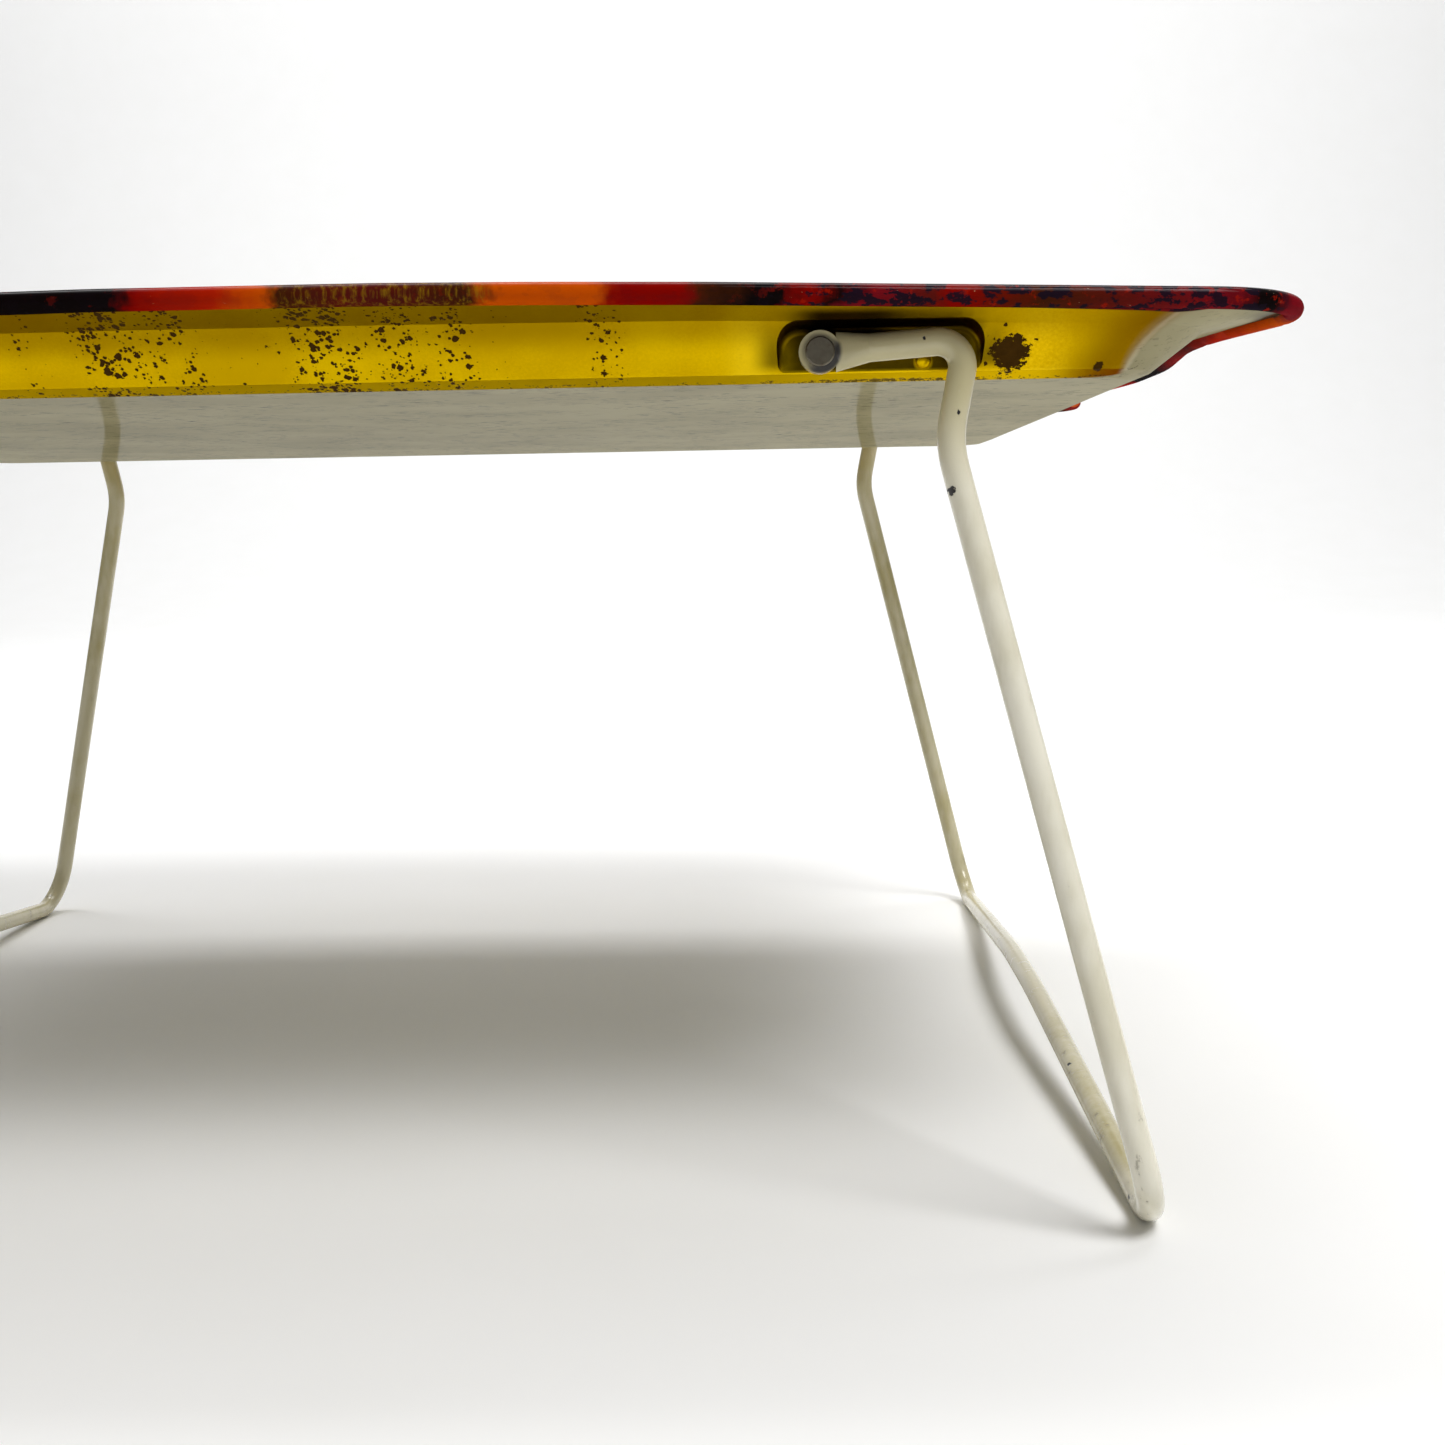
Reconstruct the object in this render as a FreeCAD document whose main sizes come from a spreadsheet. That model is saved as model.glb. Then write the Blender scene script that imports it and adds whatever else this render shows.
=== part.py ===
# Folding tray table: a pressed tin tray on two folding legs of bent rod.
# Millimetres. Origin on the ground under the tray's middle, X along the tray,
# -Y the front long side, Z up. Legs stand open.
import FreeCAD, Part
import Sketcher
import math
import os
from FreeCAD import Placement, Rotation, Vector

doc = FreeCAD.newDocument("FoldingTrayTable")

# ---------------------------------------------------------------- driving dimensions
sheet = doc.addObject("Spreadsheet::Sheet", "Dimensions")
driving = [
    # tray
    ("sheetRise", 0.6),          # upright thickness of the pressed sheet
    ("floorHeight", 182.3),      # underside of the tray's floor above the ground
    ("floorLength", 377.4),
    ("floorWidth", 272.4),
    ("wallRise", 12.4),          # floor to the break between wall and flange
    ("rimRise", 17.2),           # floor to the middle of the rolled rim, at mid length
    ("rimDrop", 3.0),            # how much lower the rim runs at the two ends
    ("beadRadius", 2.3),
    # pressed pockets behind the legs' arms
    ("pocketLeft", 110.8),       # at the pocket's back; it widens towards its mouth
    ("pocketRight", 154.0),
    ("pocketTop", 193.3),
    ("pocketFlare", 0.1),        # widening for each millimetre outwards
    ("pocketBack", 140.6),       # distance of the pocket's back from the long middle line
    ("pocketSkin", 0.6),
    ("dimpleRadius", 1.7),
    # rivets and spacer washers
    ("rivetAcross", 119.6),
    ("rivetHeight", 188.1),
    ("shankRadius", 1.6),
    ("headRadius", 3.1),
    ("headThick", 1.1),
    ("washerRadius", 3.8),
    ("washerThick", 0.9),
    ("sideGap", 0.1),            # free play beside the eye
    ("boreGap", 0.05),           # radial running clearance of the eye on the shank
    # legs
    ("rodRadius", 3.0),
    ("eyeRadius", 4.5),
    ("eyeThick", 3.0),
    ("neckLength", 10.5),        # eye centre to the full round of the rod
    ("armBend", 150.5),
    ("armHeight", 189.9),
    ("armSide", 147.0),
    ("kneeAcross", 146.3),
    ("kneeHeight", 168.6),
    ("kneeSide", 147.6),
    ("footAcross", 188.9),
    ("footHeight", 1.28),        # meeting point of upright and crossbar, before rounding
    ("footSide", 167.2),
    ("archHalf", 21.7),          # half the level middle of the crossbar
    ("archRise", 14.7),
]
for row, (name, value) in enumerate(driving, start=1):
    sheet.set("A%d" % row, name)
    sheet.set("B%d" % row, str(value))
    sheet.setAlias("B%d" % row, name)
doc.recompute()


def size(name):
    return float(sheet.get(name))


def bind(item, prop, formula):
    item.setExpression(prop, formula)


# ---------------------------------------------------------------- bent paths
def roundedEdges(corners, closed=False):
    # corners: (point, reach), where reach is the distance from the corner at which
    # its arc begins and ends; each arc lies in the plane of its two straights
    count = len(corners)
    edges = []
    start = None
    first = None
    for number, (corner, reach) in enumerate(corners):
        isEnd = not closed and number in (0, count - 1)
        if isEnd:
            arcIn = arcOut = corner
        else:
            before = (corners[number - 1][0] - corner).normalize()
            after = (corners[(number + 1) % count][0] - corner).normalize()
            arcIn = corner + before * reach
            arcOut = corner + after * reach
        if start is not None:
            edges.append(Part.LineSegment(start, arcIn).toShape())
        else:
            first = arcIn
        if not isEnd:
            halfAngle = before.getAngle(after) / 2
            if halfAngle > math.radians(89.99):
                edges.append(Part.LineSegment(arcIn, arcOut).toShape())
            else:
                radius = reach * math.tan(halfAngle)
                inward = (before + after).normalize()
                middle = corner + inward * (radius / math.sin(halfAngle) - radius)
                edges.append(Part.Arc(arcIn, middle, arcOut).toShape())
        start = arcOut
    if closed:
        edges.append(Part.LineSegment(start, first).toShape())
    return edges


def aroundTray(quarter):
    # a quarter outline, from the front side's middle to the right end's middle,
    # repeated in the other three quarters
    backRight = [(Vector(p.x, -p.y, p.z), reach) for p, reach in reversed(quarter)]
    backLeft = [(Vector(-p.x, -p.y, p.z), reach) for p, reach in quarter]
    frontLeft = [(Vector(-p.x, p.y, p.z), reach) for p, reach in reversed(quarter)]
    return quarter + backRight + backLeft + frontLeft


def feature(name, shape):
    item = doc.addObject("Part::Feature", name)
    item.Shape = shape
    return item


# ---------------------------------------------------------------- tray
floorZ = size("floorHeight")
halfLength = size("floorLength") / 2
halfWidth = size("floorWidth") / 2
rimZ = floorZ + size("rimRise")
endZ = rimZ - size("rimDrop")
wallZ = floorZ + size("wallRise")
wallEndZ = wallZ - size("rimDrop") * 0.9

# where a long side bends towards the corners: distance along the tray, and how far
# the rim has drawn in and dropped there
sideBends = [
    (29.0, 0.0, 0.1),
    (62.0, 0.93, 0.4),
    (95.3, 2.81, 0.8),
]


def quarterOutline(out, height, share, roundedCorners):
    # the long side's bends, of which a level takes a share, then the corner and the
    # wavy end
    side = [(Vector(across, -halfWidth - out + share * drawn, height - share * dropped), 4)
            for across, drawn, dropped in sideBends]
    return side + roundedCorners


floorQuarter = quarterOutline(0, floorZ, 0, [
    (Vector(halfLength, -halfWidth, floorZ), 12),
    (Vector(halfLength, -74, floorZ), 12),
    (Vector(halfLength, -22, floorZ), 12),
])
toeQuarter = quarterOutline(4.2, floorZ + 1.6, 0, [
    (Vector(halfLength + 4.4, -halfWidth - 4.0, floorZ + 1.5), 14),
    (Vector(halfLength + 4.1, -76, floorZ + 1.4), 12),
    (Vector(halfLength + 4.2, -22, floorZ + 1.4), 12),
])
wallQuarter = quarterOutline(14.3, wallZ, 0.42, [
    (Vector(halfLength + 16.0, -halfWidth - 9.4, wallEndZ), 19),
    (Vector(halfLength + 12.2, -76, wallEndZ), 18),
    (Vector(halfLength + 15.0, -22, wallEndZ), 14),
])
rimQuarter = quarterOutline(24.7, rimZ, 1, [
    (Vector(halfLength + 39.8, -halfWidth - 10.6, endZ), 27),
    (Vector(halfLength + 25.6, -78, endZ), 22),
    (Vector(halfLength + 33.4, -19, endZ), 9),
])


def band(lower, upper):
    return [Part.makeRuledSurface(low, high) for low, high in zip(lower, upper)]


levels = [roundedEdges(aroundTray(q), True) for q in (floorQuarter, toeQuarter, wallQuarter, rimQuarter)]
rise = Vector(0, 0, size("sheetRise"))
underFaces = [Part.Face(Part.Wire(levels[0]))]
for lower, upper in zip(levels, levels[1:]):
    underFaces += band(lower, upper)
upperFaces = [face.translated(rise) for face in underFaces]
lipFaces = band(levels[-1], [edge.translated(rise) for edge in levels[-1]])


def sewn(faces):
    shell = Part.makeShell(faces)
    shell.sewShape()
    solid = Part.makeSolid(shell)
    if solid.Volume < 0:
        solid.reverse()
    return solid


pressedSheet = feature("PressedSheet", sewn(underFaces + upperFaces + lipFaces))

# everything above the tray's outer surface, to trim the pockets' skins with
coverZ = rimZ + 12
coverEdges = roundedEdges(aroundTray([(Vector(p.x, p.y, coverZ), reach) for p, reach in rimQuarter]), True)
coverFace = Part.Face(Part.Wire(coverEdges))
aboveSheet = feature("AboveSheet", sewn(underFaces + band(levels[-1], coverEdges) + [coverFace]))


def cut(name, base, tool):
    item = doc.addObject("Part::Cut", name)
    item.Base = base
    item.Tool = tool
    return item


def common(name, base, tool):
    item = doc.addObject("Part::Common", name)
    item.Base = base
    item.Tool = tool
    return item


def fused(name, pieces):
    item = doc.addObject("Part::MultiFuse", name)
    item.Shapes = pieces
    return item


def grouped(name, pieces):
    item = doc.addObject("Part::Compound", name)
    item.Links = pieces
    return item


def mirrored(name, source, across):
    item = doc.addObject("Part::Mirroring", name)
    item.Source = source
    item.Normal = across
    return item


def inEachCorner(name, frontRight):
    # the piece and its three reflections across the tray's middle lines
    front = grouped(name + "Front", [frontRight, mirrored(name + "FrontLeft", frontRight, Vector(1, 0, 0))])
    return grouped(name + "All", [front, mirrored(name + "Back", front, Vector(0, 1, 0))])


def cylinder(name, radius, height, base, turn):
    # radius and height are formulas, base three formulas, turn the way the axis faces
    item = doc.addObject("Part::Cylinder", name)
    bind(item, "Radius", radius)
    bind(item, "Height", height)
    item.Placement.Rotation = turn
    for letter, formula in zip("xyz", base):
        bind(item, "Placement.Base." + letter, formula)
    return item


def pocketBlock(name, grow):
    # a block that widens outwards, its shoulders and the corners of its back rounded;
    # grow is the sheet's skin around it
    reach = 40
    tall = 20
    back = "-Dimensions.pocketBack + " + grow
    mouth = "%d * Dimensions.pocketFlare" % reach
    block = doc.addObject("Part::Wedge", name + "Block")
    bind(block, "Ymax", back)
    bind(block, "Ymin", "%s - %d" % (back, reach))
    for prefix, wider in (("X2", "0"), ("X", mouth)):
        bind(block, prefix + "min", "Dimensions.pocketLeft - %s - %s" % (grow, wider))
        bind(block, prefix + "max", "Dimensions.pocketRight + %s + %s" % (grow, wider))
    for prefix, wider in (("Z2", "0"), ("Z", mouth)):
        bind(block, prefix + "min", "Dimensions.pocketTop - %d" % tall)
        bind(block, prefix + "max", "Dimensions.pocketTop + %s + %s" % (grow, wider))
    doc.recompute()
    outline = block.Shape.BoundBox
    extra = size("pocketSkin") if grow != "0" else 0
    rounding = []
    for number, edge in enumerate(block.Shape.Edges, start=1):
        box = edge.BoundBox
        if box.YLength > reach - 0.01 and box.ZMin > outline.ZMin + tall / 2:
            rounding.append((number, 5.0 + extra, 5.0 + extra))
        elif box.YMin > outline.YMax - 0.01 and box.ZMax > outline.ZMin + 0.01:
            rounding.append((number, 1.5 + extra, 1.5 + extra))
    arched = doc.addObject("Part::Fillet", name)
    arched.Base = block
    arched.Edges = rounding
    return arched


backward = Rotation(Vector(1, 0, 0), -90)       # turns a piece's own +Z to +Y
hollow = pocketBlock("PocketHollow", "0")
skin = common("PocketSkin", cut("PocketShell", pocketBlock("PocketOutside", "Dimensions.pocketSkin"), hollow),
              aboveSheet)

# the round detent pressed outwards beside the arm, and the disc that keeps only its cap
dimpleBall = doc.addObject("Part::Sphere", "DimpleBall")
bind(dimpleBall, "Radius", "Dimensions.dimpleRadius * 1.1")
bind(dimpleBall, "Placement.Base.x", "Dimensions.rivetAcross + 22.1")
bind(dimpleBall, "Placement.Base.y", "-Dimensions.pocketBack + 0.75")
bind(dimpleBall, "Placement.Base.z", "Dimensions.rivetHeight - 1.8")
dimpleDisc = cylinder("DimpleDisc", "Dimensions.dimpleRadius * 2", "3", (
    "Dimensions.rivetAcross + 22.1", "-Dimensions.pocketBack - 3 + Dimensions.pocketSkin / 2",
    "Dimensions.rivetHeight - 1.8"), backward)
dimple = common("Dimple", dimpleBall, dimpleDisc)

rivetHole = cylinder("RivetHole", "Dimensions.shankRadius + Dimensions.boreGap", "6", (
    "Dimensions.rivetAcross", "-Dimensions.pocketBack - 3", "Dimensions.rivetHeight"), backward)


def tube(name, radius, path, start, heading):
    # a round section carried along a path
    section = doc.addObject("Part::Circle", name + "Section")
    bind(section, "Radius", radius)
    section.Placement = Placement(start, Rotation(Vector(0, 0, 1), heading))
    route = feature(name + "Route", path)
    item = doc.addObject("Part::Sweep", name)
    item.Sections = [section]
    item.Spine = (route, ["Edge%d" % (number + 1) for number in range(len(path.Edges))])
    item.Solid = True
    item.Frenet = False
    return item


rimStart = levels[-1][0]
bead = tube("RolledRim", "Dimensions.beadRadius", Part.Wire(levels[-1]),
            rimStart.firstVertex().Point, rimStart.tangentAt(rimStart.FirstParameter))

openSheet = cut("OpenSheet", pressedSheet, inEachCorner("Hollows", hollow))
pressed = fused("PressedTray", [openSheet, inEachCorner("Skins", skin), inEachCorner("Dimples", dimple), bead])
trayPan = cut("TrayPan", pressed, inEachCorner("RivetHoles", rivetHole))

# ---------------------------------------------------------------- legs
eyeBack = size("pocketBack") + size("washerThick") + size("sideGap")
rodSide = eyeBack + size("rodRadius")
eyeCentre = Vector(size("rivetAcross"), -eyeBack - size("eyeThick") / 2, size("rivetHeight"))
neckEnd = Vector(eyeCentre.x + size("neckLength"), -rodSide, size("rivetHeight") + 0.6)
armCorner = Vector(size("armBend"), -size("armSide"), size("armHeight"))
kneeCorner = Vector(size("kneeAcross"), -size("kneeSide"), size("kneeHeight"))
footCorner = Vector(size("footAcross"), -size("footSide"), size("footHeight"))
upright = (kneeCorner - footCorner).normalize()
upLeg = Vector(upright.x, 0, upright.z).normalize()
archCorner = Vector(footCorner.x, -size("archHalf"), footCorner.z) + upLeg * size("archRise")

frontRun = [(neckEnd, 0), (armCorner, 6.8), (kneeCorner, 5.6), (footCorner, 18.4), (archCorner, 12)]
backRun = [(Vector(p.x, -p.y, p.z), reach) for p, reach in reversed(frontRun)]
rodPath = Part.Wire(roundedEdges(frontRun + backRun))

rod = tube("Rod", "Dimensions.rodRadius", rodPath, neckEnd, armCorner - neckEnd)

eye = cylinder("Eye", "Dimensions.eyeRadius", "Dimensions.eyeThick", (
    "Dimensions.rivetAcross",
    "-Dimensions.pocketBack - Dimensions.washerThick - Dimensions.sideGap - Dimensions.eyeThick",
    "Dimensions.rivetHeight"), backward)
flatSection = doc.addObject("Part::Ellipse", "NeckFlatSection")
bind(flatSection, "MajorRadius", "Dimensions.eyeRadius * 0.93")
bind(flatSection, "MinorRadius", "Dimensions.eyeThick / 2")
flatSection.Placement = Placement(eyeCentre + Vector(size("headRadius") + 0.3, 0, 0),
                                  Rotation(Vector(0, 0, 1), Vector(0, 1, 0), Vector(-1, 0, 0), "ZYX"))
roundSection = doc.addObject("Part::Circle", "NeckRoundSection")
bind(roundSection, "Radius", "Dimensions.rodRadius")
runway = (armCorner - neckEnd).normalize()
roundSection.Placement = Placement(neckEnd, Rotation(Vector(0, 0, 1), Vector(0, 1, 0), runway * -1, "ZYX"))
neck = doc.addObject("Part::Loft", "Neck")
neck.Sections = [flatSection, roundSection]
neck.Solid = True
neck.Ruled = True
legBlank = fused("LegBlank", [rod, neck, eye, mirrored("BackNeck", neck, Vector(0, 1, 0)),
                              mirrored("BackEye", eye, Vector(0, 1, 0))])
bore = cylinder("EyeBore", "Dimensions.shankRadius + Dimensions.boreGap", "400", (
    "Dimensions.rivetAcross", "-200", "Dimensions.rivetHeight"), backward)
legRight = cut("LegRight", legBlank, bore)
legLeft = mirrored("LegLeft", legRight, Vector(1, 0, 0))


# ---------------------------------------------------------------- rivets and washers
def sketchIn(body, name, role):
    plane = [item for item in body.Origin.OriginFeatures if item.Role == role][0]
    sketch = body.newObject("Sketcher::SketchObject", name)
    sketch.AttachmentSupport = [(plane, "")]
    sketch.MapMode = "FlatFace"
    return sketch


def makeRivet(name):
    # turned about the upright axis of its sketch: plain outer disc at the bottom,
    # shank through eye, washer and sheet, smaller peened head inside the tray
    body = doc.addObject("PartDesign::Body", name)
    sketch = sketchIn(body, name + "Profile", "XY_Plane")
    head = size("headRadius")
    shank = size("shankRadius")
    thick = size("headThick")
    grip = size("pocketSkin") + size("washerThick") + 2 * size("sideGap") + size("eyeThick")
    outline = [(0, -thick), (head, -thick), (head, 0), (shank, 0), (shank, grip),
               (head, grip), (head, grip + thick), (0, grip + thick)]
    for here, there in zip(outline, outline[1:] + outline[:1]):
        sketch.addGeometry(Part.LineSegment(Vector(*here, 0), Vector(*there, 0)), False)
    count = len(outline)
    for number in range(count):
        sketch.addConstraint(Sketcher.Constraint("Coincident", number, 2, (number + 1) % count, 1))
    for number in (0, 2, 4, 6):
        sketch.addConstraint(Sketcher.Constraint("Horizontal", number))
    for number in (1, 3, 5, 7):
        sketch.addConstraint(Sketcher.Constraint("Vertical", number))
    sketch.addConstraint(Sketcher.Constraint("PointOnObject", 0, 1, -2))
    sketch.addConstraint(Sketcher.Constraint("PointOnObject", 1, 2, -1))
    lengths = [
        ("DistanceX", 0, head, "Dimensions.headRadius"),
        ("DistanceY", 1, thick, "Dimensions.headThick"),
        ("DistanceY", 3, grip, "Dimensions.pocketSkin + Dimensions.washerThick"
                               " + 2 * Dimensions.sideGap + Dimensions.eyeThick"),
        ("DistanceX", 4, head - shank, "Dimensions.headRadius - Dimensions.shankRadius"),
        ("DistanceY", 5, thick, "Dimensions.headThick"),
    ]
    for kind, number, value, formula in lengths:
        place = sketch.addConstraint(Sketcher.Constraint(kind, number, 1, number, 2, value))
        sketch.setExpression("Constraints[%d]" % place, formula)
    place = sketch.addConstraint(Sketcher.Constraint("DistanceX", 6, 2, 6, 1, head))
    sketch.setExpression("Constraints[%d]" % place, "Dimensions.headRadius")
    doc.recompute()
    turning = body.newObject("PartDesign::Revolution", name + "Turning")
    turning.Profile = sketch
    turning.ReferenceAxis = (sketch, ["V_Axis"])
    turning.Angle = 360
    doc.recompute()
    discRim = [number for number, edge in enumerate(turning.Shape.Edges, start=1)
               if abs(edge.BoundBox.YMax + thick) < 0.01 and edge.BoundBox.XLength > head]
    softened = body.newObject("PartDesign::Chamfer", name + "Edge")
    softened.Base = (turning, ["Edge%d" % number for number in discRim])
    softened.Size = 0.25
    return body


def makeWasher(name):
    body = doc.addObject("PartDesign::Body", name)
    sketch = sketchIn(body, name + "Rings", "XZ_Plane")
    rings = [(size("washerRadius"), "Dimensions.washerRadius"),
             (size("shankRadius"), "Dimensions.shankRadius + Dimensions.boreGap")]
    for number, (radius, formula) in enumerate(rings):
        sketch.addGeometry(Part.Circle(Vector(0, 0, 0), Vector(0, 0, 1), radius), False)
        sketch.addConstraint(Sketcher.Constraint("Coincident", number, 3, -1, 1))
        place = sketch.addConstraint(Sketcher.Constraint("Radius", number, radius))
        sketch.setExpression("Constraints[%d]" % place, formula)
    ring = body.newObject("PartDesign::Pad", name + "Ring")
    ring.Profile = sketch
    bind(ring, "Length", "Dimensions.washerThick")
    return body


discFace = eyeBack + size("eyeThick") + size("sideGap")
nodes = {"tray_pan": trayPan, "leg_right": legRight, "leg_left": legLeft}
for end, across in (("right", 1), ("left", -1)):
    for side, outward in (("front", -1), ("back", 1)):
        # each pair is made for the front side and turned half round for the back
        facing = Rotation(Vector(0, 0, 1), 0 if side == "front" else 180)
        spot = Vector(across * size("rivetAcross"), 0, size("rivetHeight"))
        rivet = makeRivet("Rivet" + side.title() + end.title())
        rivet.Placement = Placement(spot + Vector(0, outward * discFace, 0), facing)
        washer = makeWasher("Washer" + side.title() + end.title())
        washer.Placement = Placement(spot + Vector(0, outward * size("pocketBack"), 0), facing)
        nodes["rivet_%s_%s" % (side, end)] = rivet
        nodes["washer_%s_%s" % (side, end)] = washer

doc.recompute()

# ---------------------------------------------------------------- check and write
for item in doc.Objects:
    if "Invalid" in item.State or "Error" in item.State:
        raise RuntimeError("%s did not build: %s" % (item.Name, item.State))
os.makedirs("parts", exist_ok=True)
for name, item in nodes.items():
    item.Label = name
    if item.Shape.isNull() or not item.Shape.isValid() or len(item.Shape.Solids) != 1:
        raise RuntimeError(name + " is not one sound solid")
    item.Shape.exportStep("parts/%s.step" % name)
    box = item.Shape.optimalBoundingBox(False)
    print("%-20s volume %9.1f  x %7.2f %7.2f  y %7.2f %7.2f  z %7.2f %7.2f" % (
        name, item.Shape.Volume, box.XMin, box.XMax, box.YMin, box.YMax, box.ZMin, box.ZMax))
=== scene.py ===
import bpy
import math
from mathutils import Matrix, Vector

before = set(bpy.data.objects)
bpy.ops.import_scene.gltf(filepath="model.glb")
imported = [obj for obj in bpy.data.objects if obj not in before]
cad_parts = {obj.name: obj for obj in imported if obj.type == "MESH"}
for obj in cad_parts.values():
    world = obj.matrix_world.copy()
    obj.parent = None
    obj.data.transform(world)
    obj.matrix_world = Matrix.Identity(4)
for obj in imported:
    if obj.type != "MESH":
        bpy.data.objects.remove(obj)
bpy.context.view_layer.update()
print("frame loaded:", len(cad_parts), "nodes")


class Wire:
    # one socket of a material's nodes; arithmetic on it adds Math nodes
    def __init__(self, finish, socket):
        self.finish = finish
        self.socket = socket

    def maths(self, operation, *values):
        return self.finish.node("ShaderNodeMath", {"operation": operation}, dict(enumerate(values)))

    def __add__(self, other):
        return self.maths("ADD", self, other)

    def __sub__(self, other):
        return self.maths("SUBTRACT", self, other)

    def __rsub__(self, other):
        return self.maths("SUBTRACT", other, self)

    def __mul__(self, other):
        return self.maths("MULTIPLY", self, other)

    def __truediv__(self, other):
        return self.maths("DIVIDE", self, other)

    def __abs__(self):
        return self.maths("ABSOLUTE", self)

    def larger(self, other):
        return self.maths("MAXIMUM", self, other)

    def root(self):
        return self.maths("SQRT", self)

    __radd__ = __add__
    __rmul__ = __mul__


class Finish:
    # one procedural material, and the few node recipes that all of them share
    def __init__(self, name):
        self.material = bpy.data.materials.new(name)
        self.material.use_nodes = True
        self.tree = self.material.node_tree
        self.tree.nodes.remove(self.tree.nodes["Principled BSDF"])
        self.end = self.tree.nodes["Material Output"]
        place = self.node("ShaderNodeTexCoord", output="Object")
        self.spot = self.vector("SCALE", place, scale=1000)    # millimetres
        self.facing = self.node("ShaderNodeTexCoord", output="Normal")

    def node(self, kind, settings=None, inputs=None, output=0):
        made = self.tree.nodes.new(kind)
        for name, value in (settings or {}).items():
            if name == "stops":
                self.rampStops(made.color_ramp, value)
            else:
                setattr(made, name, value)
        for name, value in (inputs or {}).items():
            self.feed(made.inputs[name], value)
        return Wire(self, made.outputs[output])

    def feed(self, socket, value):
        if isinstance(value, Wire):
            self.tree.links.new(value.socket, socket)
        else:
            socket.default_value = value

    def rampStops(self, ramp, stops):
        for number, (place, colour) in enumerate(stops):
            stop = ramp.elements[number] if number < 2 else ramp.elements.new(place)
            stop.position = place
            stop.color = colour

    def vector(self, operation, first, second=(0, 0, 0), scale=1.0):
        output = 1 if operation in ("LENGTH", "DISTANCE", "DOT_PRODUCT") else 0
        return self.node("ShaderNodeVectorMath", {"operation": operation},
                         {0: first, 1: second, 3: scale}, output)

    def parts(self, vector):
        return [self.node("ShaderNodeSeparateXYZ", inputs={0: vector}, output=axis) for axis in (0, 1, 2)]

    def blend(self, share, first, second):
        return self.node("ShaderNodeMix", {"data_type": "RGBA"}, {0: share, 6: first, 7: second}, 2)

    def step(self, value, low, high):
        # 0 below low, 1 above high, smooth between; low may be the larger
        if low > high:
            return 1 - self.step(value, high, low)
        return self.node("ShaderNodeMapRange", {"interpolation_type": "SMOOTHSTEP"},
                         {"Value": value, "From Min": low, "From Max": high})

    def noise(self, where, size, detail, rough, output="Fac"):
        inputs = {"Vector": where, "Scale": 1 / size, "Detail": detail, "Roughness": rough}
        return self.node("ShaderNodeTexNoise", {"noise_dimensions": "3D"}, inputs, output)

    def cells(self, where, size, output="Distance", spread=1.0):
        inputs = {"Vector": where, "Scale": 1 / size, "Randomness": spread}
        return self.node("ShaderNodeTexVoronoi", inputs=inputs, output=output)

    def ramp(self, share, stops):
        return self.node("ShaderNodeValToRGB", {"stops": stops}, {"Fac": share})

    def stretched(self, where, amounts):
        return self.vector("MULTIPLY", where, amounts)

    def bump(self, height, distance):
        return self.node("ShaderNodeBump", inputs={"Height": height, "Distance": distance, "Strength": 1.0})

    def skin(self, **values):
        return self.node("ShaderNodeBsdfPrincipled",
                         inputs={name.replace("_", " "): value for name, value in values.items()})

    def over(self, share, below, above):
        return self.node("ShaderNodeMixShader", inputs={0: share, 1: below, 2: above})

    def show(self, surface):
        self.feed(self.end.inputs["Surface"], surface)
        return self.material


def tint(red, green, blue):
    # screen colour to the linear colour that a socket takes
    def linear(part):
        part = part / 255
        return part / 12.92 if part <= 0.04045 else ((part + 0.055) / 1.055) ** 2.4
    return (linear(red), linear(green), linear(blue), 1.0)


tray = {
    "edgeFront": (160.9, 4.85),           # rim's middle line on a long side: distance out, turn in degrees
    "edgeTurn": 62.0,                     # middle of the stretch where the long side draws in
    "endTip": (228.5, 146.8),
    "endDip": (214.3, 78.0),
    "endCrown": (222.1, 19.0),
    "cornerRadius": 24.1,
    "beadHalf": 2.15,
    "floorEdge": 136.2,
    "floorHeight": 182.3,
    "creaseFoot": 184.7,                  # the crease at each corner: its foot, and how it curves outwards
    "creaseLean": (0.1, 0.054),
    "gold": tint(232, 192, 0),
    "goldDeep": tint(188, 144, 0),
    # painted highlight colour for the toe strip and beside each pocket
    "goldHighlight": tint(252, 216, 30),
    # dark gold: painted shade below the rim, the darkening towards the corner crease, and specks on the
    # cream
    "darkGoldShadeAndSpecks": tint(108, 72, 0),
    "goldEdge": tint(150, 110, 0),
    "cream": tint(154, 147, 114),
    "creamShade": tint(138, 131, 99),
    "greyStreak": tint(80, 73, 60),
    # painted highlight along the corner crease
    "creaseHighlight": tint(196, 187, 160),
    "highlightAt": (104.5, 166.0),            # painted highlight: brighter gold either side of each pocket
    "rust": tint(44, 27, 6),
    "rustEdge": tint(72, 47, 9),
    "bareTin": tint(176, 166, 120),
    "frontWall": (-100, -110),            # the front's wall lies beyond these y
    "toeWidth": 4.5,                      # the small slope between floor and wall
    "printTurns": (-9, -5),               # from face print to rim print, inwards of the rim's middle line
    "rustSpots": [                        # along the front wall: middle, half width, strength
        (-48, 5, 0.6), (-31, 9, 1.0), (-18, 8, 0.9), (-6, 5, 0.35), (3, 4, 0.5),
        (15, 10, 1.0), (31, 8, 0.9), (42, 5, 0.9), (52, 4, 0.35), (74, 6, 0.75)],
    "rustPatches": [(159.9, 187.2, 3.8), (179.0, 184.4, 0.9)],    # along, up, radius
    "pocket": (110.8, 154.0, 140.6, 193.3),    # inner end, outer end, back, top
    # near-black painted shade for the pocket behind each arm and the inner side of the end rims
    "paintedShade": tint(26, 16, 6),
    "dimple": (141.7, 185.9, 2.3),        # across, up, radius
    "underRimShade": (187.5, 193.5),           # heights between which the gold is darkened below the rim: painted shade
}
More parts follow.
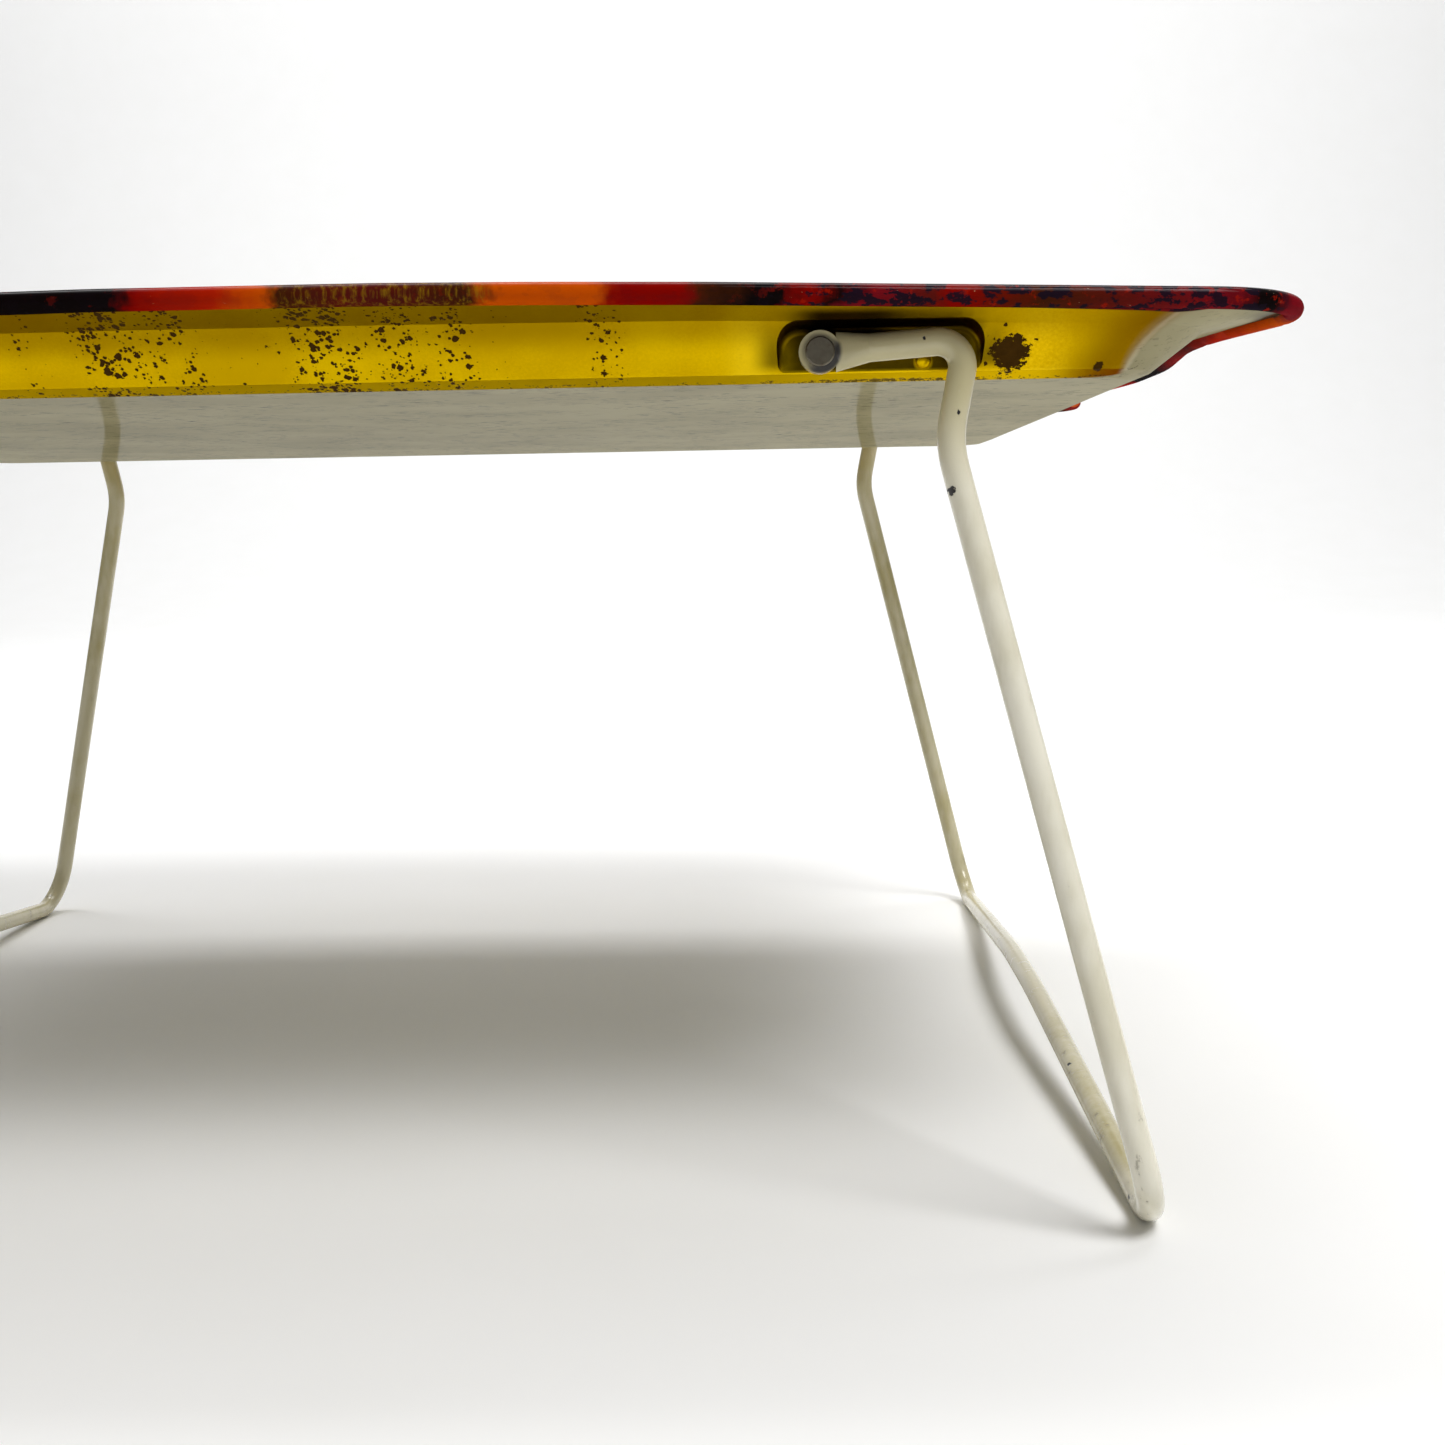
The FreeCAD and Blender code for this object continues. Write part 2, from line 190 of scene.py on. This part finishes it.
flowers = [                               # size, petals, shift, inks from the middle outwards
    (64, 4, 31.0, ("olive", "ochre", "umber", "orange")),
    (96, 6, 0.0, ("red", "orange", "crimson", "vermilion")),
    (118, 5, 77.0, ("vermilion", "crimson", "red", "orange")),
]
rimPrint = {
    "start": -52,                         # millimetres along the rim from the front's middle
    "length": 420,
    "ochreMarks": (5, 54),
    "blots": (108, 238),
    "blocks": [
        (-52, "black"), (-25, "black"), (-22, "red"), (-6, "vermilion"), (5, "orange"), (8, "umber"),
        (24, "maroon"), (48, "umber"), (53, "orange"), (73, "orange"), (78, "red"), (92, "red"),
        (96, "umber"), (106, "black"), (114, "black"), (118, "red"), (125, "black"), (133, "crimson"),
        (147, "maroon"), (153, "red"), (170, "umber"), (188, "maroon"), (212, "crimson"), (222, "black"),
        (231, "black"), (236, "crimson"), (252, "crimson"), (259, "orange"), (284, "vermilion"),
        (304, "maroon"), (330, "red"), (366, "black")],
}
printInks = {
    "black": tint(14, 8, 8),
    "umber": tint(60, 26, 8),
    "maroon": tint(86, 20, 14),
    "crimson": tint(112, 14, 24),
    "red": tint(128, 6, 2),
    "vermilion": tint(164, 28, 4),
    "orange": tint(190, 74, 2),
    "ochre": tint(156, 120, 12),
    "olive": tint(74, 66, 16),
    "navy": tint(24, 16, 28),
    "pale": tint(222, 196, 156),
}


def rimDistance(paint, across, along):
    # signed distance outwards from the middle line of the rolled rim; across is |x|, along is |y|
    def past(point, direction):
        # distance to the line through point, on the side that direction, in degrees, faces
        turn = math.radians(direction)
        return ((across - point[0]) * math.cos(turn)) + ((along - point[1]) * math.sin(turn))

    def soft(operation, first, second, reach):
        return paint.node("ShaderNodeMath", {"operation": operation}, {0: first, 1: second, 2: reach})

    reach, draw = tray["edgeFront"]
    side = soft("SMOOTH_MAX", along - reach, past((tray["edgeTurn"], reach), 90 - draw), 5.0)
    tip, dip, crown = tray["endTip"], tray["endDip"], tray["endCrown"]
    outer = math.degrees(math.atan2(tip[0] - dip[0], tip[1] - dip[1]))
    inner = math.degrees(math.atan2(crown[0] - dip[0], dip[1] - crown[1]))
    bulge = soft("SMOOTH_MAX", past(dip, inner), across - crown[0], 3.0)
    end = soft("SMOOTH_MIN", past(dip, -outer), bulge, 9.0)
    # the two sides meet in a round corner
    radius = tray["cornerRadius"]
    angle = math.radians(90 - draw + outer)
    sideIn = (side + radius).larger(0)
    endIn = (end + radius).larger(0)
    square = sideIn * sideIn + endIn * endIn - sideIn * endIn * (2 * math.cos(angle))
    rounded = (square / math.sin(angle) ** 2).root() - radius
    return rounded.larger(side.larger(end))


def faceSkin(paint):
    # the painted flowers of the tray's face: petals on a dark, brushy ground
    spot = paint.spot
    wobble = paint.vector("SUBTRACT", paint.noise(spot, 14, 2, 0.6, "Color"), (0.5, 0.5, 0.5))
    flat = paint.stretched(paint.vector("ADD", spot, paint.vector("SCALE", wobble, scale=16)), (1, 1, 0))
    brush = paint.noise(paint.stretched(flat, (0.35, 1.6, 1)), 3.2, 4, 0.7)
    dabs = paint.noise(paint.stretched(flat, (1.2, 0.4, 1)), 5, 3, 0.6)
    colour = paint.ramp(paint.noise(flat, 26, 3, 0.65), [
        (0.30, printInks["black"]), (0.42, printInks["umber"]), (0.52, printInks["maroon"]),
        (0.58, printInks["olive"]), (0.66, printInks["umber"]), (0.78, printInks["navy"])])
    colour = paint.blend(paint.step(brush, 0.56, 0.66) * 0.7, colour, printInks["ochre"])
    for size, petals, shift, inks in flowers:
        moved = paint.vector("ADD", flat, (shift, shift * 0.6, 0))
        arm = paint.vector("SUBTRACT", moved, paint.cells(moved, size, "Position", spread=0.75))
        chance = paint.parts(paint.cells(moved, size, "Color", spread=0.75))
        armX, armY, _ = paint.parts(arm)
        angle = armX.maths("ARCTAN2", armY, armX)
        wave = abs(angle.maths("COSINE", angle * (petals / 2) + chance[1] * 6.3))
        share = paint.vector("LENGTH", arm) / ((0.3 + 0.12 * chance[0]) * size * (0.62 + 0.38 * wave))
        bloom = paint.step(share + (brush - 0.5) * 0.4, 1.04, 0.96) * paint.step(chance[2], 0.28, 0.30)
        veins = angle.maths("SINE", angle * (petals * 6) + dabs * 9) * 0.08
        petalInk = paint.ramp(share * 0.75 + veins + (dabs - 0.5) * 0.5, [
            (0.08, printInks["black"]), (0.2, printInks["maroon"]), (0.42, printInks[inks[0]]),
            (0.62, printInks[inks[1]]), (0.74, printInks[inks[2]]), (0.9, printInks[inks[3]])])
        seeds = paint.step(paint.cells(moved, 3.4), 0.34, 0.26) * paint.step(share, 0.36, 0.28)
        petalInk = paint.blend(seeds, petalInk, printInks["ochre"])
        outline = paint.step(abs(share - 0.97), 0.06, 0.01) * 0.7
        colour = paint.blend(bloom, colour, paint.blend(outline, petalInk, printInks["black"]))
    scuffed = paint.step(paint.noise(paint.stretched(spot, (1.4, 0.5, 1)), 2.0, 5, 0.7), 0.69, 0.75)
    colour = paint.blend(scuffed * 0.3, colour, tray["bareTin"])
    return paint.skin(Base_Color=colour, Roughness=0.24 + scuffed * 0.3 + (dabs - 0.5) * 0.06,
                      Normal=paint.bump(brush * 0.1 - scuffed * 0.3, 0.0002),
                      Coat_Weight=0.5, Coat_Roughness=0.08)


def rimSkin(paint, x, y, facingZ):
    # the same print where it rolls over the edge: blocks of ink that follow one another along the rim
    spot = paint.spot
    run = x + y + tray["edgeFront"][0]
    streaks = paint.noise(paint.stretched(spot, (0.9, 0.9, 0.25)), 2.4, 4, 0.65)
    blots = paint.noise(spot, 9, 3, 0.6)
    warped = run + (streaks - 0.5) * 7 + (blots - 0.5) * 14
    colour = paint.ramp(warped.maths("FRACT", (warped - rimPrint["start"]) / rimPrint["length"]), [
        ((at - rimPrint["start"]) / rimPrint["length"], printInks[ink]) for at, ink in rimPrint["blocks"]])
    # upright ochre brush marks over the dark part, and ragged dark blots further along
    low, high = rimPrint["ochreMarks"]
    ochreZone = paint.step(run, low, low + 6) * paint.step(run, high, high - 6)
    marks = paint.step(paint.noise(paint.stretched(spot, (1.1, 1.1, 0.1)), 1.1, 4, 0.7), 0.46, 0.68)
    colour = paint.blend(marks * ochreZone * 0.5, colour, printInks["ochre"])
    low, high = rimPrint["blots"]
    farZone = paint.step(run, low, low + 10) * paint.step(run, high, high - 10)
    blotch = paint.step(paint.noise(paint.stretched(spot, (1, 1, 1.6)), 4.6, 4, 0.62), 0.50, 0.55)
    colour = paint.blend(blotch * (0.1 + 0.85 * farZone), colour, printInks["navy"])
    glow = paint.step(paint.noise(paint.vector("ADD", spot, (40, 9, 3)), 3.4, 4, 0.7), 0.58, 0.66)
    colour = paint.blend(glow * (0.12 + 0.4 * farZone), colour, printInks["vermilion"])
    flecks = paint.step(paint.noise(paint.stretched(spot, (0.6, 0.6, 1.5)), 1.3, 3, 0.6), 0.7, 0.76)
    colour = paint.blend(flecks * (0.15 + 0.55 * farZone), colour, printInks["pale"])
    return paint.skin(Base_Color=colour, Roughness=0.26 + (streaks - 0.5) * 0.12,
                      Normal=paint.bump(streaks * 0.1, 0.0002), Specular_IOR_Level=0.0,
                      Coat_Weight=0.02 + 0.3 * paint.step(facingZ, 0.35, 0.8), Coat_Roughness=0.06)


def specks(paint, where, size, crowd):
    # ragged dots: each cell's own colour sets how large its dot grows, crowd how many there are
    shift = paint.vector("SCALE", paint.noise(where, size * 0.45, 2, 0.6, "Color"), scale=size * 0.55)
    ragged = paint.vector("ADD", where, shift)
    chance = paint.parts(paint.cells(ragged, size, "Color"))[0]
    return paint.step((chance + crowd - 1) * 0.55 - paint.cells(ragged, size), 0.0, 0.05)


def goldSkin(paint, x, y, z, across, along, cloud, pastCrease):
    spot = paint.spot
    front = paint.step(y, *tray["frontWall"])
    overFloor = z - tray["floorHeight"]
    grain = paint.noise(spot, 0.6, 2, 0.6)
    clear = paint.step(cloud + (grain - 0.5) * 0.3, 0.35, 0.68)
    gold = paint.blend(clear * 0.5 + 0.5, tray["goldDeep"], tray["gold"])
    # painted highlight: the toe strip between floor and wall is lightened
    toeEnd = tray["floorEdge"] + tray["toeWidth"]
    toe = paint.step(along, toeEnd, toeEnd - 0.9)
    gold = paint.blend(toe * 0.85, gold, tray["goldHighlight"])
    # the gold darkens towards the corner crease
    gold = paint.blend(paint.step(pastCrease + (cloud - 0.5) * 6, -24, -3) * 0.88, gold, tray["darkGoldShadeAndSpecks"])
    # painted highlight beside each pocket
    inner, outer = tray["highlightAt"]
    sideHighlight = paint.step(abs(across - inner), 7, 1) + paint.step(abs(across - outer), 8, 1)
    gold = paint.blend(sideHighlight * paint.step(cloud + grain * 0.4, 0.5, 0.8) * 0.4, gold, tray["goldHighlight"])
    # painted shade: the gold darkens below the rim
    gold = paint.blend(paint.step(z, *tray["underRimShade"]) * 0.5, gold, tray["darkGoldShadeAndSpecks"])
    # painted shade in the pocket behind each arm: most under its upper edge, and down its sides
    left, right, back, top = tray["pocket"]
    within = paint.step(across, left - 4, left + 5) * paint.step(across, right + 4, right - 4)
    within = within * paint.step(overFloor, 1.6, 2.6)
    deep = paint.step(along, back + 9.5, back + 6)
    high = paint.step(z, top - 3.6, top - 0.8) * paint.step(z, top + 3.4, top + 1.6)
    shaded = high * paint.step(across, left, left + 9) * paint.step(across, right - 6, right - 24)
    paintedShade = within * (deep * 0.85).larger(shaded * 0.97 + high * 0.35 * (1 - shaded))
    # painted shade down both sides of the pocket
    sides = paint.step(across, left - 7, left - 1) * paint.step(across, left + 9, left + 1)
    sides = sides + paint.step(across, right - 7, right - 1) * paint.step(across, right + 7, right + 2)
    sides = sides * paint.step(z, top + 3, top - 6) * paint.step(overFloor, 1.0, 4.0)
    paintedShade = paintedShade.larger(sides * 0.72)
    # the painted shade is lifted over each dimple, so it shows bright as if lit
    middle, height, radius = tray["dimple"]
    away = (across - middle) * (across - middle) + (z - height) * (z - height)
    paintedShade = paintedShade * (1 - 0.8 * paint.step(away.root(), radius, radius * 0.7))
    gold = paint.blend(paintedShade, gold, tray["paintedShade"])
    # rust: specks in groups, two patches, and wear along the lower edge
    groups = paint.step(paint.noise(paint.stretched(spot, (1, 0, 0)), 24, 2, 0.5), 0.5, 0.62)
    crowd = groups * (1 - front) * 0.55
    for middle, half, strength in tray["rustSpots"]:
        crowd = crowd.larger(paint.step(abs(x - middle), half * 1.35, half * 0.4) * front * strength)
    crowd = crowd * paint.step(paint.noise(spot, 5.5, 2, 0.65), 0.30, 0.50) + 0.05
    rusted = specks(paint, spot, 1.9, crowd)
    rusted = rusted.larger(specks(paint, paint.vector("ADD", spot, (7, 3, 5)), 1.0, crowd * 1.05))
    ragged = paint.noise(spot, 1.5, 4, 0.75)
    for middle, height, radius in tray["rustPatches"]:
        away = (x - middle) * (x - middle) + (z - height) * (z - height) * 1.1
        away = away.root() / radius + (ragged - 0.5) * 2.2
        rusted = rusted.larger(paint.step(away, 1.0, 0.94) * front)
        around = paint.step(away, 3.6, 1.2) * front * 0.62
        rusted = rusted.larger(specks(paint, paint.vector("ADD", spot, (1, 9, 4)), 1.7, around))
    lowEdge = paint.step(abs(overFloor - 0.25), 0.7, 0.15)
    wearHere = 0.12 + 0.1 * paint.step(abs(across - 139), 24, 16)
    worn = paint.step(ragged + lowEdge * wearHere, 0.68, 0.72) * lowEdge
    rusted = rusted.larger(worn * 0.9)
    colour = paint.blend(rusted, gold, paint.blend(ragged, tray["rust"], tray["rustEdge"]))
    rough = (0.34 + (grain - 0.5) * 0.14) * (1 - rusted) + rusted * 0.8
    return paint.skin(Base_Color=colour, Metallic=1 - rusted, Roughness=rough,
                      Specular_IOR_Level=0.15, Specular_Tint=tray["goldEdge"],
                      Normal=paint.bump(grain * 0.12 - rusted * 0.7, 0.0003))


def creamSkin(paint, across, along, outward, pastCrease):
    # the flat underside and the ends, with faint streaks and short dashes along the tray
    spot = paint.spot
    streak = paint.noise(paint.stretched(spot, (0.10, 1.1, 1)), 4.2, 4, 0.62)
    smudge = paint.noise(paint.vector("ADD", spot, (11, 5, 2)), 46, 4, 0.6)
    cream = paint.blend(paint.step(smudge, 0.35, 0.7), tray["cream"], tray["creamShade"])
    cream = paint.blend(paint.step(streak, 0.62, 0.80) * 0.05, cream, tray["greyStreak"])
    dashes = paint.noise(paint.stretched(spot, (0.35, 1.5, 2.0)), 1.6, 3, 0.6)
    scratch = paint.step(dashes, 0.58, 0.62) * paint.step(paint.noise(spot, 18, 2, 0.5), 0.42, 0.52)
    scratch = scratch * (1 - 0.75 * paint.step(across, 184, 192))
    cream = paint.blend(scratch * 0.9, cream, tray["greyStreak"])
    # the folded crease where the long wall turns into the end: a raised ridge in the bump, with a painted
    # highlight along it
    crease = paint.step(abs(pastCrease + (streak - 0.5) * 1.2), 1.3, 0.1)
    crease = crease * paint.step(along, tray["floorEdge"] + 1, tray["floorEdge"] + 3)
    cream = paint.blend(crease * 0.55, cream, tray["creaseHighlight"])
    cream = paint.blend(specks(paint, spot, 6.0, 0.15) * 0.8, cream, tray["darkGoldShadeAndSpecks"])
    # painted shade along the inner side of the end's rolled rim
    inner = paint.step(outward, -10, -5) * paint.step(across, 186, 200) * paint.step(along, 144, 128)
    cream = paint.blend(inner * 0.92, cream, tray["paintedShade"])
    return paint.skin(Base_Color=cream, Roughness=0.32 + (smudge - 0.5) * 0.12 + scratch * 0.2,
                      Normal=paint.bump(streak * 0.04 - scratch * 0.2 + crease * 0.9, 0.0004),
                      Specular_IOR_Level=0.0, Coat_Weight=0.16, Coat_Roughness=0.07)


def trayFinish():
    paint = Finish("lacqueredTin")
    x, y, z = paint.parts(paint.spot)
    _, facingY, facingZ = paint.parts(paint.facing)
    across, along = abs(x), abs(y)
    outward = rimDistance(paint, across, along)
    cloud = paint.noise(paint.spot, 30, 2, 0.55)
    inside = paint.step(facingZ - facingY * y.maths("SIGN", y) * 0.6, -0.02, 0.02)
    bead = paint.step(outward, -tray["beadHalf"] - 0.12, -tray["beadHalf"] + 0.12)
    height = z - tray["floorHeight"]
    lean, curve = tray["creaseLean"]
    pastCrease = across - height * (height * curve + lean) - tray["creaseFoot"]
    # the lacquer stops short at the crease's foot and fades out higher up
    fade = pastCrease / (height * 0.3 + 1)
    goldShare = (paint.step(fade + (cloud - 0.5) * 2, 0.9, -0.8)
                 * paint.step(along, tray["floorEdge"] - 0.1, tray["floorEdge"] + 0.25))
    gold = goldSkin(paint, x, y, z, across, along, cloud, pastCrease)
    cream = creamSkin(paint, across, along, outward, pastCrease)
    under = paint.over(goldShare, cream, gold)
    atRim = paint.step(outward, *tray["printTurns"])
    printed = paint.over(atRim, faceSkin(paint), rimSkin(paint, x, y, facingZ))
    return paint.show(paint.over(inside.larger(bead), under, printed))


legs = {
    "ivory": tint(238, 234, 216),
    # yellowed enamel, also standing in for shade at the back and under the tray
    "yellowedAndShaded": tint(176, 165, 114),
    "grime": tint(120, 110, 84),
    "chip": tint(18, 15, 15),
    "marks": [                            # chips on the right leg's front: along, up, radius
        (146.6, 158.3, 0.75), (148.2, 174.5, 0.35), (141.2, 190.0, 0.3)],
    "eye": (119.6, 188.1),                # the pivot, across and up
    # dirt around the pivot, darker on its lower right as painted shade
    "dirtAndShade": tint(58, 56, 60),
    "yellowShadeFrom": (-158, -128),           # y over which the enamel yellows and darkens towards the back: real yellowing with painted shade
    "yellowShadeUp": (148, 184),               # and z towards the tray, where the darkening is also painted shade
}


def legFinish():
    paint = Finish("creamEnamel")
    spot = paint.spot
    x, y, z = paint.parts(spot)
    cloud = paint.noise(spot, 34, 3, 0.55)
    run = paint.noise(paint.stretched(spot, (1, 1, 0.22)), 3.2, 4, 0.6)
    pitting = paint.noise(spot, 1.1, 3, 0.55)
    # the enamel yellows towards the back and up towards the tray: partly real yellowing, partly painted
    # shade from the tray
    backHalf = paint.step(y, *legs["yellowShadeFrom"])
    agedAndShaded = paint.step(cloud + (run - 0.5) * 0.35, 0.42, 0.72) * 0.3 + backHalf * 0.65
    agedAndShaded = agedAndShaded.larger(paint.step(z, *legs["yellowShadeUp"]) * 0.85)
    enamel = paint.blend(agedAndShaded, legs["ivory"], legs["yellowedAndShaded"])
    nearFoot = paint.step(z, 46, 4)
    nearEye = paint.step(z, 182, 188)
    scuff = paint.step(run + (pitting - 0.5) * 0.4 + nearFoot * 0.05, 0.66, 0.76)
    enamel = paint.blend(scuff * (0.22 + 0.45 * nearFoot + 0.2 * nearEye), enamel, legs["grime"])
    chips = specks(paint, spot, 7.5, 0.15 + nearFoot * 0.1)
    small = specks(paint, paint.vector("ADD", spot, (3, 8, 5)), 3.2, 0.10 + nearEye * 0.08)
    for across, up, radius in legs["marks"]:
        away = (x - across) * (x - across) + (z - up) * (z - up) * 0.6
        mark = paint.step(away.root() + (pitting - 0.5) * radius * 2.4, radius, radius * 0.8)
        chips = chips.larger(mark * paint.step(y, -146, -148))
    chips = chips.larger(small)
    # dirt around the pivot joint, with painted shade added on its lower right
    eyeX, eyeZ = legs["eye"]
    fromX, fromZ = abs(x) - eyeX, z - eyeZ
    ring = (fromX * fromX + fromZ * fromZ).root()
    lowRight = paint.step(fromX - fromZ, -1, 3)
    dirtAndShade = paint.step(ring - lowRight * 0.7, 4.3, 3.3) * (0.4 + 0.55 * lowRight)
    enamel = paint.blend(dirtAndShade, enamel, legs["dirtAndShade"])
    colour = paint.blend(chips, enamel, legs["chip"])
    rough = 0.24 + scuff * 0.22 + (pitting - 0.5) * 0.1 + chips * 0.35
    height = paint.noise(spot, 2.6, 2, 0.5) * 0.2 + pitting * 0.06 - chips * 0.8 - scuff * 0.1
    return paint.show(paint.skin(Base_Color=colour, Roughness=rough, Normal=paint.bump(height, 0.0003),
                                 Coat_Weight=0.45, Coat_Roughness=0.14))


hardware = {
    "steel": tint(122, 116, 102),
    "steelDark": tint(98, 91, 76),
    "tarnish": tint(84, 68, 44),
}


def steelFinish(name, dulled):
    paint = Finish(name)
    spot = paint.spot
    grain = paint.noise(spot, 0.4, 3, 0.6)
    cloud = paint.noise(spot, 1.8, 4, 0.6)
    steel = paint.blend(paint.step(cloud, 0.3, 0.75) * 0.5, hardware["steel"], hardware["steelDark"])
    stained = paint.step(cloud + (grain - 0.5) * 0.4, 0.60, 0.72)
    colour = paint.blend(stained * dulled, steel, hardware["tarnish"])
    return paint.show(paint.skin(Base_Color=colour, Metallic=1 - stained * 0.5,
                                 Roughness=0.34 + grain * 0.18 + stained * 0.2,
                                 Normal=paint.bump(grain * 0.2 - stained * 0.2, 0.0001)))


print("mixing finishes")
finishes = {
    "tray_pan": trayFinish(),
    "leg": legFinish(),
    "rivet": steelFinish("rivetSteel", 0.5),
    "washer": steelFinish("washerSteel", 0.8),
}
for name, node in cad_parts.items():
    finish = finishes["tray_pan"] if name == "tray_pan" else finishes[name.split("_")[0]]
    for slot in node.material_slots:
        slot.material = finish
print("finishes on", len(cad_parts), "nodes")


studio = {
    "floorHalf": 5.0,
    "backStart": 2.2,           # where the floor begins to curve up behind the table
    "curve": 1.4,
    "curveSteps": 16,
    "backHeight": 4.2,
    "white": tint(247, 247, 247),
    "offWhite": tint(244, 244, 243),
    "sky": 0.18,
}


def buildSweep():
    # one seamless pale sheet: flat under the table, curving up behind it
    half = studio["floorHalf"]
    profile = [(-half, 0.0), (studio["backStart"], 0.0)]
    for number in range(1, studio["curveSteps"] + 1):
        turn = math.radians(90 * number / studio["curveSteps"])
        profile.append((studio["backStart"] + studio["curve"] * math.sin(turn),
                        studio["curve"] * (1 - math.cos(turn))))
    profile.append((studio["backStart"] + studio["curve"], studio["backHeight"]))
    points = [(side * half, y, z) for y, z in profile for side in (-1, 1)]
    faces = [(2 * n, 2 * n + 1, 2 * n + 3, 2 * n + 2) for n in range(len(profile) - 1)]
    mesh = bpy.data.meshes.new("sweep")
    mesh.from_pydata(points, [], faces)
    mesh.polygons.foreach_set("use_smooth", [True] * len(faces))
    sweep = bpy.data.objects.new("sweep", mesh)
    bpy.context.scene.collection.objects.link(sweep)
    paint = Finish("palePaper")
    mottle = paint.noise(paint.spot, 60, 3, 0.5)
    colour = paint.blend(mottle, studio["white"], studio["offWhite"])
    mesh.materials.append(paint.show(paint.skin(Base_Color=colour, Roughness=0.75 + mottle * 0.1)))


def softLight(name, place, aim, size, power):
    light = bpy.data.lights.new(name, "AREA")
    light.shape = "RECTANGLE"
    light.size, light.size_y = size
    light.energy = power
    item = bpy.data.objects.new(name, light)
    bpy.context.scene.collection.objects.link(item)
    item.location = place
    item.rotation_euler = (Vector(aim) - Vector(place)).to_track_quat("-Z", "Y").to_euler()


lights = {                      # place, aim, size, power
    "key": ((0.8, -0.8, 1.75), (0.1, -0.08, 0.1), (0.8, 0.8), 27),
    "overhead": ((-0.2, 0.5, 2.0), (0.0, 0.1, 0.1), (1.8, 1.4), 11),
    "backWash": ((0.0, 1.2, 3.2), (0.0, 3.4, 1.0), (4.0, 1.5), 100),
}
buildSweep()
for name, (place, aim, size, power) in lights.items():
    softLight(name, place, aim, size, power)
world = bpy.data.worlds.new("studio")
bpy.context.scene.world = world
world.use_nodes = True
world.node_tree.nodes["Background"].inputs["Color"].default_value = (1, 1, 1, 1)
world.node_tree.nodes["Background"].inputs["Strength"].default_value = studio["sky"]
bpy.context.scene.view_settings.view_transform = "Standard"
print("studio lit with", len(lights), "soft lights")


camera = {
    "place": (0.10664, -0.49827, 0.14978),
    "turn": -1.4586,            # degrees towards +X
    "down": 6.4939,
    "roll": -0.9885,
    "lens": 40.858,
}
viewer = bpy.data.objects.new("camera", bpy.data.cameras.new("camera"))
bpy.context.scene.collection.objects.link(viewer)
viewer.data.sensor_width = 36
viewer.data.lens = camera["lens"]
viewer.data.clip_start = 0.01
turn = (Matrix.Rotation(-math.radians(camera["turn"]), 4, "Z")
        @ Matrix.Rotation(math.radians(90 - camera["down"]), 4, "X")
        @ Matrix.Rotation(math.radians(camera["roll"]), 4, "Z"))
viewer.matrix_world = Matrix.Translation(camera["place"]) @ turn
bpy.context.scene.camera = viewer
